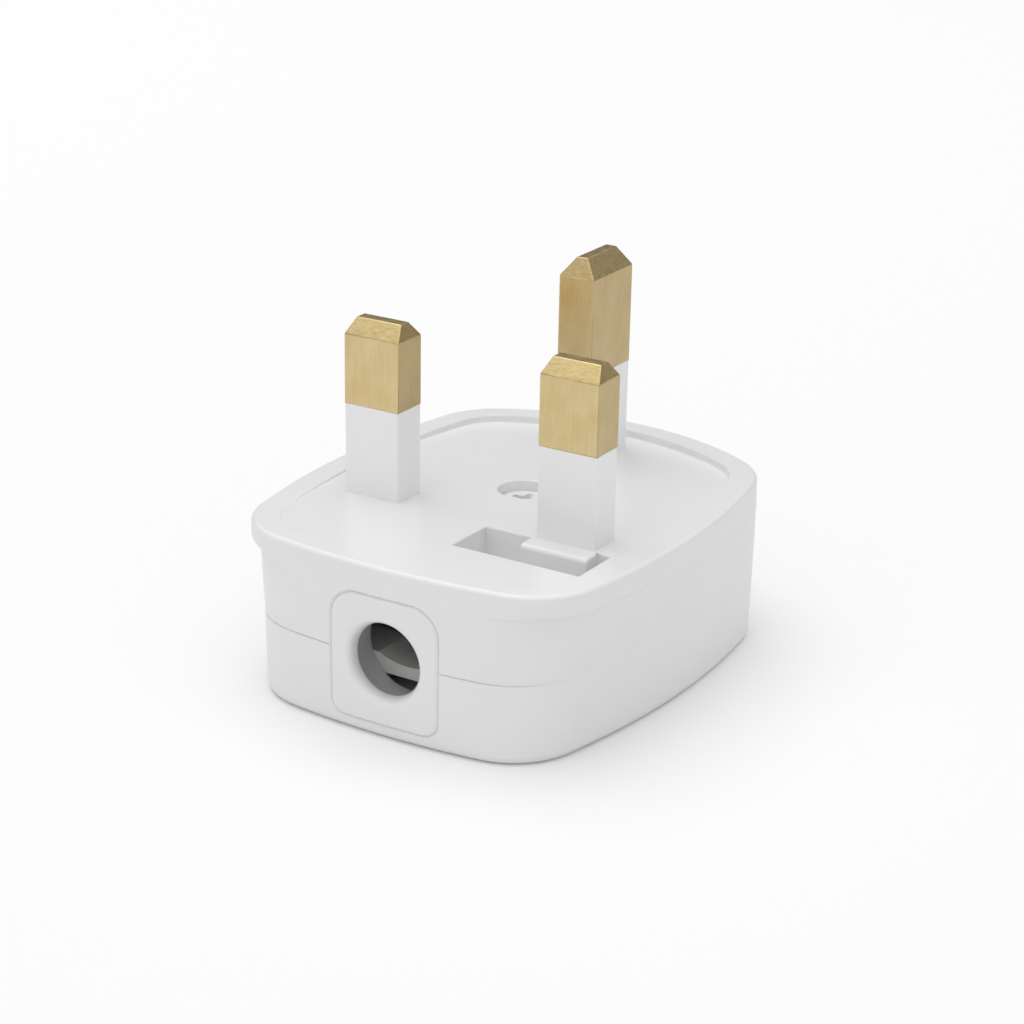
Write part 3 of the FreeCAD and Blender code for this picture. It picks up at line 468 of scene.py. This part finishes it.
def collarReach(turn, grown):
    # how far the collar's rounded square reaches in a direction, larger by a margin all round
    way = Vector((abs(math.cos(turn)), abs(math.sin(turn))))
    half, tall = collarHalf + grown, collar["height"] / 2 + grown
    corner = (collar["topRadius"] if math.sin(turn) > 0 else collar["bottomRadius"]) + grown
    reach = min(half / max(way.x, 1e-9), tall / max(way.y, 1e-9))
    inner = Vector((half - corner, tall - corner))
    if way.x * reach > inner.x and way.y * reach > inner.y:
        along = way.dot(inner)
        reach = along + math.sqrt(along ** 2 - inner.length_squared + corner ** 2)
    return reach


def frontCurve(x):  # how far the body's cord end falls back from its middle
    return body["frontArc"] - math.sqrt(body["frontArc"] ** 2 - x * x)


def collarRing(reach, y, curved=True):
    def place(turn):
        size = reach(turn) if callable(reach) else reach
        x = collar["offset"] + size * math.cos(turn)
        return (x, y + (frontCurve(x) if curved else 0), collarMiddle + size * math.sin(turn))
    return place


def squareRing(grown, y, curved=True):
    return collarRing(lambda turn: collarReach(turn, grown), y, curved)


def collarWindow():
    # tool that opens the front wall and chamfers its edge
    edge, deep, gap = collar["edge"], collar["edgeDepth"], collar["gap"]
    clear = 2 * through
    places = [squareRing(gap, collarBack + gap, False), squareRing(gap, frontY + deep),
              squareRing(gap + edge, frontY), squareRing(gap + edge + clear * edge / deep, frontY - clear)]
    return loft("collar window", collar["ringPoints"], places)


def middle(edge):
    return (edge.verts[0].co + edge.verts[1].co) / 2


def edgeAlong(edge, axis):
    run = edge.verts[1].co - edge.verts[0].co
    return abs(getattr(run, axis)) > aligned * run.length


def normals(edge):
    return [face.normal for face in edge.link_faces]


def makePinBase():
    wallPlan, shoulderPlan, lipPlan = plan("wall"), plan("shoulder"), plan("lip")
    innerPlan = inset(wallPlan, body["wall"])
    ceiling = bodyHeight - body["face"]
    seam, top = body["seam"], body["topRound"]
    places = [ring(innerPlan, ceiling), ring(innerPlan, body["parting"])]
    # the edge at the parting is broken at the cord end only
    places += [ring(plan("wall", seam * (1 - math.sin(t))), body["parting"] + seam * (1 - math.cos(t)))
               for t in quarter(body["seamSteps"])]
    # the wall leans out to its shoulder, where the lip swells out and rounds up to its side
    wallFoot, wallTop = body["parting"] + seam, bodyHeight - body["lipHeight"] - body["lipFillet"]
    places += [ring(blend(wallPlan, shoulderPlan, share), wallFoot + (wallTop - wallFoot) * share)
               for share in shares(body["wallSteps"])]
    lipRise = body["lipFillet"] + body["lipRound"]
    for share in shares(body["lipSteps"]):
        soon = share ** body["lipHaste"]  # tight at the crease, easy at the top
        places.append(ring(blend(shoulderPlan, lipPlan, eased(soon)), wallTop + lipRise * share))
    places += [ring(inset(lipPlan, top * (1 - math.cos(t))), bodyHeight - top + top * math.sin(t))
               for t in quarter(body["roundSteps"])]
    # the rim's inner side goes down to the sloped pin face
    for share in [0.0] + shares(rim["rampSteps"]):
        places.append(ring(inset(lipPlan, rim["width"] - rim["ramp"] * (1 - share)),
                           lambda y, part=eased(share): bodyHeight + (faceLevel(y) - bodyHeight) * part))
    base = loft("pin base", body["ringPoints"], places)

    # wells and posts that stand inside
    sleeveLow, sleeveHigh = nodeBox("neutral_pin_sleeve")
    screwLow, screwHigh = nodeBox("cover_screw")
    screwSpot = ((screwLow + screwHigh) / 2).xy
    pocketBack = sleeveLow.y - pocket["pinGap"]
    pocketFront = pocketBack - pocket["length"]
    pocketRight = pocket["left"] + pocket["width"]
    pocketFloor = bodyHeight - pocket["depth"]
    thick = pocket["wall"]
    rootTop = ceiling + overlap
    combine(base, addBlock((pocket["left"] - thick, pocketFront - thick, pocketFloor - thick),
                           (pocketRight + thick, pocketBack + thick, rootTop)), "UNION")
    combine(base, addRod(screwSpot, screwHole["bossFoot"], rootTop, screwHole["bossDiameter"] / 2), "UNION")
    for side in (-1, 1):
        postSpot = (side * grip["spacing"] / 2, frontY + grip["inset"])
        combine(base, addRod(postSpot, grip["barTop"], rootTop, grip["postDiameter"] / 2, sides=32), "UNION")

    # pocket with the pin's boss left standing in it
    bossFront = pocketBack - pocket["bossReach"]
    bossTop = faceLevel(bossFront)
    boss = addBlock((sleeveLow.x - pocket["bossMargin"], bossFront, pocketFloor - through),
                    (sleeveHigh.x + pocket["bossMargin"], pocketBack + through, bossTop))
    bevelEdges(boss, lambda edge: edgeAlong(edge, "x") and middle(edge).z > bossTop - near
               and middle(edge).y < bossFront + near, pocket["bossRound"], pocket["bossSegments"])
    bevelEdges(boss, lambda edge: middle(edge).z > pocketFloor - through / 2
               and max(abs(normal.x) for normal in normals(edge)) > facing, pocket["bossEdge"], edgeSegments)
    sink = addBlock((pocket["left"], pocketFront, pocketFloor),
                    (pocketRight, pocketBack, bodyHeight + through))
    combine(sink, boss, "DIFFERENCE")
    combine(base, sink, "DIFFERENCE")

    # seats of the sleeves, hole of the screw, window of the collar
    for node in ("line_pin_sleeve", "neutral_pin_sleeve", "earth_pin_sleeve"):
        low, high = nodeBox(node)
        combine(base, addBlock((low.x, low.y, low.z - through), high), "DIFFERENCE")
    headRadius = (screwHigh.x - screwLow.x) / 2
    seat = screwHigh.z - coverScrew["headHeight"]
    combine(base, addRod(screwSpot, seat, bodyHeight + through, headRadius + screwHole["headClearance"],
                         sides=96), "DIFFERENCE")
    combine(base, addRod(screwSpot, screwHole["bossFoot"] - through, seat + through,
                         screwHole["shankDiameter"] / 2), "DIFFERENCE")
    combine(base, collarWindow(), "DIFFERENCE")

    sag, margin = 0.05, 0.1  # mm that an edge may lie below the face, or off the pocket's or hole's outline

    def mouthEdge(edge):
        # edges where the pin face meets the upright sides of the pocket and of the screw hole
        spot = middle(edge)
        if len(edge.link_faces) != 2 or spot.z < faceLevel(spot.y) - sag:
            return False
        rises = [normal.z for normal in normals(edge)]
        if max(rises) < facing or abs(min(rises)) > upright:
            return False
        besidePocket = pocket["left"] - margin <= spot.x <= pocketRight + margin
        inPocket = besidePocket and spot.y < pocketBack + margin
        inHole = (spot.xy - screwSpot).length < headRadius + screwHole["headClearance"] + margin
        return inPocket or inHole

    bevelEdges(base, mouthEdge, pocket["edge"], edgeSegments)
    finishPiece(base, "moulded_pin_base", "pin_base", housingWhite)


makePinBase()


# the half that the plug lies on

cover = {"lineDepth": 0.16, "lineHeight": 0.12, "lineRound": 0.12, "lineSteps": 3, "tongueHeight": 1.2,
         "tongueGap": 0.1, "tongueThickness": 0.8, "collarRoom": 1.4, "bossDiameter": 7.2, "insertRoom": 5.5,
         "ribThickness": 1.2, "ribSpacing": 8.0, "ribTop": 6.5}


def makeBackCover():
    wallPlan = plan("wall")
    tonguePlan = inset(wallPlan, body["wall"] + cover["tongueGap"])
    innerPlan = inset(tonguePlan, cover["tongueThickness"])
    tongueTop = body["parting"] + cover["tongueHeight"]
    lineFoot = body["parting"] - cover["lineHeight"]
    soft, low = cover["lineRound"], body["bottomRound"]
    places = [ring(innerPlan, body["floor"]), ring(innerPlan, tongueTop), ring(tonguePlan, tongueTop),
              ring(tonguePlan, body["parting"])]
    # the line between the halves shows at the cord end only
    places += [ring(plan("wall", cover["lineDepth"]), level) for level in (body["parting"], lineFoot)]
    places += [ring(plan("wall", soft * (1 - math.sin(t))), lineFoot - soft * (1 - math.cos(t)))
               for t in quarter(cover["lineSteps"])]
    places += [ring(inset(wallPlan, body["draft"] + low * (1 - math.cos(t))), low - low * math.sin(t))
               for t in quarter(body["roundSteps"])]
    shell = loft("back cover", body["ringPoints"], places)

    # boss for the screw's insert and ribs under the fuse, rooted in the floor
    root = body["floor"] / 2
    insertLow, insertHigh = nodeBox("cover_screw_insert")
    spot = ((insertLow + insertHigh) / 2).xy
    combine(shell, addRod(spot, root, body["parting"], cover["bossDiameter"] / 2), "UNION")
    combine(shell, addRod(spot, insertLow.z, insertLow.z + cover["insertRoom"],
                          (insertHigh.x - insertLow.x) / 2), "DIFFERENCE")
    fuseLow, fuseHigh = nodeBox("fuse_tube")
    halfRib = cover["ribThickness"] / 2
    for side in (-1, 1):
        y = (fuseLow.y + fuseHigh.y) / 2 + side * cover["ribSpacing"] / 2
        combine(shell, addBlock((fuseLow.x, y - halfRib, root),
                                (fuseHigh.x, y + halfRib, cover["ribTop"])), "UNION")

    # room and window for the collar
    room = collarHalf + cover["collarRoom"]
    combine(shell, addBlock((collar["offset"] - room, frontY + body["wall"], body["floor"]),
                            (collar["offset"] + room, collarBack + collar["gap"], tongueTop + through)),
            "DIFFERENCE")
    combine(shell, collarWindow(), "DIFFERENCE")
    finishPiece(shell, "moulded_back_cover", "back_cover", housingWhite)


makeBackCover()


# the collar that the cord goes in through

def makeCollar():
    radius, room = collar["holeDiameter"] / 2, collar["roomDiameter"] / 2
    flare, deep, edge, offset = (collar[name] for name in ("flare", "flareDepth", "edge", "offset"))

    def facePlace(share):
        inner = (radius + flare) * (1 - share)
        return collarRing(lambda turn: collarReach(turn, -edge) * share + inner, frontY)

    # wide room behind, thin plate with the flared hole, face, soft edge, sides
    places = [collarRing(room, collarBack, False),
              collarRing(room, frontY + collar["plate"] + collar["plateStep"], False)]
    places += [collarRing(radius + flare * (1 - math.cos(t)), frontY + deep * (1 - math.sin(t)))
               for t in quarter(body["roundSteps"])]
    places += [facePlace(share) for share in shares(collar["faceRings"])]
    places += [squareRing(0, frontY + collar["edgeDepth"]), squareRing(0, collarBack, False),
               collarRing(room, collarBack, False)]
    piece = loft("cord collar", collar["ringPoints"], places, closed=True)
    # flange that the halves trap behind their front wall
    half = collarHalf + collar["flangeMargin"]
    start = frontY + body["wall"] + frontCurve(half + offset) + collar["seatGap"]
    end = start + collar["flangeThickness"]
    flange = addBlock((offset - half, start, body["floor"] + collar["seatGap"]),
                      (offset + half, end, bodyHeight - body["face"] - collar["topGap"]))
    combine(flange, addRod((offset, collarMiddle), start - through, end + through, room + collar["flangeGap"],
                           sides=96, along="Y"), "DIFFERENCE")
    combine(piece, flange, "UNION")
    finishPiece(piece, "cord_entry_insert", "cord_entry_collar", collarWhite)


makeCollar()


# pins and sleeves

pin = {"sleeveWall": 0.6, "edge": 0.10, "jointEdge": 0.07, "jointSegments": 2, "sleeveEdge": 0.22,
       "sleeveSegments": 4}
# width, depth and height of the chamfered tips
pinTips = {"line": (5.15, 1.3, 1.5), "neutral": (5.15, 1.3, 1.5), "earth": (1.2, 5.9, 1.9)}


def selectFaces(piece, chosen):
    bpy.ops.mesh.select_mode(type="FACE")
    bpy.ops.mesh.select_all(action="DESELECT")
    mesh = bmesh.from_edit_mesh(piece.data)
    for face in mesh.faces:
        if chosen(face):
            face.select_set(True)
    bmesh.update_edit_mesh(piece.data)


def makePin(kind):
    width, depth, tall = pinTips[kind]
    low, high = nodeBox(kind + "_pin_sleeve")
    tip = nodeBox(kind + "_pin")[1].z
    blade = addBlock((low.x, low.y, high.z), (high.x, high.y, tip - tall))
    size = high - low
    centre = (low + high) / 2
    bpy.ops.object.mode_set(mode="EDIT")
    selectFaces(blade, lambda face: face.normal.z > facing)
    bpy.ops.mesh.extrude_region_move(TRANSFORM_OT_translate={"value": (0, 0, tall)})
    bpy.ops.transform.resize(value=(width / size.x, depth / size.y, 1),
                             center_override=(centre.x, centre.y, tip))
    # neck that the sleeve is moulded round
    selectFaces(blade, lambda face: face.normal.z < -facing)
    bpy.ops.mesh.inset(thickness=pin["sleeveWall"])
    bpy.ops.mesh.extrude_region_move(TRANSFORM_OT_translate={"value": (0, 0, low.z - high.z)})
    bpy.ops.object.mode_set(mode="OBJECT")
    bevelEdges(blade, lambda edge: middle(edge).z > high.z + near, pin["edge"], edgeSegments)

    def jointEdge(edge):
        # outer edges where the brass comes out of the sleeve
        off = middle(edge) - centre
        outside = max(abs(off.x) - size.x / 2, abs(off.y) - size.y / 2) > -near
        return outside and abs(middle(edge).z - high.z) < near

    bevelEdges(blade, jointEdge, pin["jointEdge"], pin["jointSegments"])
    addTerminal(blade, kind)
    finishPiece(blade, kind + "_pin_blade", kind + "_pin", pinBrass, smooth=20)


terminal = {"headHeight": 7.0, "wireDiameter": 2.6, "wireDrop": 4.4, "screwDiameter": 2.5, "sunk": 0.05}
# width, length and start behind the pin's middle
terminalBlocks = {"neutral": (6.4, 7.0, -0.7), "earth": (7.2, 8.6, -4.0)}


def addTerminal(blade, kind):
    low, high = nodeBox(kind + "_pin_sleeve")
    x = (low.x + high.x) / 2
    top = low.z + terminal["sunk"]
    if kind == "line":
        # strap that the fuse clip holds on to
        strapLow, strapHigh = nodeBox("line_pin")
        combine(blade, addBlock(strapLow, (strapHigh.x, strapHigh.y, top)), "UNION")
        return
    width, length, start = terminalBlocks[kind]
    front = (low.y + high.y) / 2 + start
    foot = low.z - terminal["headHeight"]
    wireLevel = low.z - terminal["wireDrop"]
    combine(blade, addBlock((x - width / 2, front, foot), (x + width / 2, front + length, top)), "UNION")
    combine(blade, addRod((x, wireLevel), front - through, front + length + through,
                          terminal["wireDiameter"] / 2, sides=32, along="Y"), "DIFFERENCE")
    combine(blade, addRod((x, front + length / 2), foot - through, wireLevel,
                          terminal["screwDiameter"] / 2, sides=32), "DIFFERENCE")


def makeSleeve(kind):
    low, high = nodeBox(kind + "_pin_sleeve")
    sleeve = addBlock(low, high)
    bevelEdges(sleeve, lambda edge: edgeAlong(edge, "z"), pin["sleeveEdge"], pin["sleeveSegments"])
    bevelEdges(sleeve, lambda edge: middle(edge).z > high.z - near, pin["jointEdge"], pin["jointSegments"])
    bpy.ops.object.mode_set(mode="EDIT")
    selectFaces(sleeve, lambda face: abs(face.normal.z) > facing)
    bpy.ops.mesh.inset(thickness=pin["sleeveWall"])
    bpy.ops.mesh.bridge_edge_loops()
    bpy.ops.object.mode_set(mode="OBJECT")
    finishPiece(sleeve, kind + "_sleeve", kind + "_pin_sleeve", sleeveWhite)


for kind in pinTips:
    makePin(kind)
    makeSleeve(kind)


# the sunk screw that holds the cover

def makeCoverScrew():
    low, high = nodeBox("cover_screw")
    centre = (low + high) / 2
    radius = (high.x - low.x) / 2

    def circle(size, level):
        return lambda turn: (centre.x + size * math.cos(turn), centre.y + size * math.sin(turn), level)

    seat = high.z - coverScrew["headHeight"]
    soft, dome = coverScrew["headRound"], coverScrew["dome"]
    shank, point = coverScrew["shankDiameter"] / 2, coverScrew["pointDiameter"] / 2
    places = [circle(point, low.z), circle(shank, low.z + coverScrew["pointHeight"]), circle(shank, seat),
              circle(radius, seat)]
    places += [circle(radius - soft * (1 - math.cos(t)), high.z - dome - soft + soft * math.sin(t))
               for t in quarter(coverScrew["roundSteps"])]
    places += [circle((radius - soft) * share, high.z - dome * share ** 2)
               for share in coverScrew["domeRings"]]
    screw = loft("cover screw", coverScrew["ringPoints"], places)
    # cross recess, narrower at its foot
    halfLong, halfWide = coverScrew["crossLength"] / 2, coverScrew["crossWidth"] / 2
    taper = coverScrew["crossTaper"]
    for x, y in ((halfLong, halfWide), (halfWide, halfLong)):
        slotTool = addBlock((centre.x - x, centre.y - y, high.z - coverScrew["crossDepth"]),
                            (centre.x + x, centre.y + y, high.z + through / 2))
        bpy.ops.object.mode_set(mode="EDIT")
        selectFaces(slotTool, lambda face: face.normal.z < -facing)
        bpy.ops.transform.resize(value=(taper, taper, 1), center_override=(centre.x, centre.y, high.z))
        bpy.ops.object.mode_set(mode="OBJECT")
        combine(screw, slotTool, "DIFFERENCE")
    finishPiece(screw, "cover_screw_head", "cover_screw", screwZinc, smooth=40)


makeCoverScrew()

# inner pieces keep their solids and get their finish
innerFinishes = {
    "cover_screw_insert": terminalBrass, "line_terminal": terminalBrass, "cover_screw_retainer": gripFibre,
    "cord_grip_bar": gripNylon, "fuse_tube": fuseCeramic, "fuse_cap_front": capNickel,
    "fuse_cap_rear": capNickel, "line_pin_fuse_clip": clipBronze, "terminal_fuse_clip": clipBronze,
    "line_terminal_screw": screwZinc, "neutral_terminal_screw": screwZinc, "earth_terminal_screw": screwZinc,
    "cord_grip_screws": screwZinc}
for node, material in innerFinishes.items():
    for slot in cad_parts[node].material_slots:
        slot.material = material
print("inner pieces finished")


# floor, light and camera

# floor size and lamp aim in metres, floor drop in mm
studio = {"floorSize": 14.0, "floorDrop": 0.02, "floorColour": "#F0F0F0", "floorRoughness": 0.9,
          "floorGlow": 0.068, "skyLevel": 0.345, "skyRise": 1.0, "skyLean": (0.12, -0.19, 0.0),
          "lampAim": (0, 0, 0.01)}
# place and size in metres, power in watts
lamps = {"key_softbox": ((-0.45, 0.15, 1.30), 1.2, 4.7), "edge_light": ((-0.75, -1.20, 0.38), 0.25, 0.6)}


def makeFloor():
    deselect()
    bpy.ops.mesh.primitive_plane_add(size=studio["floorSize"], location=(0, 0, -studio["floorDrop"] * mm))
    floor = bpy.context.object
    floor.name = "floor"
    material = bpy.data.materials.new("pale_seamless_paper")
    material.use_nodes = True
    tree = material.node_tree
    shader = tree.nodes["Principled BSDF"]
    shader.inputs["Base Color"].default_value = linear(studio["floorColour"])
    shader.inputs["Roughness"].default_value = studio["floorRoughness"]
    shader.inputs["Specular IOR Level"].default_value = 0.0
    # the paper shows white to the eye and in reflections, and still takes the shadow
    path = addNode(tree, "ShaderNodeLightPath", {}).outputs
    seen = addNode(tree, "ShaderNodeMath", {0: path["Is Camera Ray"], 1: path["Is Glossy Ray"]},
                   operation="MAXIMUM").outputs[0]
    seen = addNode(tree, "ShaderNodeMath", {0: seen, 1: path["Is Transmission Ray"]},
                   operation="MAXIMUM").outputs[0]
    glow = addNode(tree, "ShaderNodeMath", {0: seen, 1: studio["floorGlow"]}, operation="MULTIPLY")
    shader.inputs["Emission Color"].default_value = linear("#FFFFFF")
    tree.links.new(glow.outputs[0], shader.inputs["Emission Strength"])
    floor.data.materials.append(material)


def aimedAt(place, target):
    return (Vector(target) - Vector(place)).to_track_quat("-Z", "Y").to_euler()


def makeLights():
    world = bpy.data.worlds.new("soft_room")
    bpy.context.scene.world = world
    world.use_nodes = True
    # a pale room, brightest overhead, a little lighter in front and to the right
    tree = world.node_tree
    way = addNode(tree, "ShaderNodeTexCoord", {}).outputs["Generated"]
    height = addNode(tree, "ShaderNodeSeparateXYZ", {0: way}).outputs["Z"]
    rise = addNode(tree, "ShaderNodeMath", {0: height, 1: height}, operation="MULTIPLY").outputs[0]
    lean = addNode(tree, "ShaderNodeVectorMath", {0: way, 1: studio["skyLean"]},
                   operation="DOT_PRODUCT").outputs["Value"]
    glow = addNode(tree, "ShaderNodeMath", {0: rise, 1: studio["skyRise"], 2: lean},
                   operation="MULTIPLY_ADD").outputs[0]
    glow = addNode(tree, "ShaderNodeMath", {0: glow, 1: studio["skyLevel"]}, operation="ADD").outputs[0]
    tree.nodes["Background"].inputs["Color"].default_value = linear("#FFFFFF")
    tree.links.new(glow, tree.nodes["Background"].inputs["Strength"])
    for name, (place, size, power) in lamps.items():
        deselect()
        bpy.ops.object.light_add(type="AREA", location=place, rotation=aimedAt(place, studio["lampAim"]))
        lamp = bpy.context.object
        lamp.name = name
        lamp.data.shape = "SQUARE"
        lamp.data.size = size
        lamp.data.energy = power


# place, sensor and clip start in mm, angles in degrees, focal length in pixels of the square photo
photoCamera = {"place": (120.56, -200.04, 105.33), "azimuth": 31.215, "elevation": 21.149, "roll": 1.098,
               "focal": 2500.0, "frame": 1024.0, "sensor": 36.0, "clipStart": 10.0}


def makeCamera():
    azimuth, elevation, roll = (math.radians(photoCamera[name]) for name in ("azimuth", "elevation", "roll"))
    level = Vector((math.cos(azimuth), math.sin(azimuth), 0))
    outward = Vector((math.sin(azimuth), -math.cos(azimuth), 0))
    back = outward * math.cos(elevation) + Vector((0, 0, math.sin(elevation)))
    rise = back.cross(level)
    right = level * math.cos(roll) + rise * math.sin(roll)
    up = rise * math.cos(roll) - level * math.sin(roll)
    deselect()
    bpy.ops.object.camera_add()
    camera = bpy.context.object
    camera.name = "photo_camera"
    camera.data.sensor_width = photoCamera["sensor"]
    camera.data.lens = photoCamera["focal"] / photoCamera["frame"] * photoCamera["sensor"]
    camera.data.clip_start = photoCamera["clipStart"] * mm
    turned = Matrix((right, up, back)).transposed().to_4x4()
    camera.matrix_world = Matrix.Translation(Vector(photoCamera["place"]) * mm) @ turned
    bpy.context.scene.camera = camera


makeFloor()
makeLights()
makeCamera()
bpy.context.scene.view_settings.view_transform = "Standard"
print("floor, light and camera set")
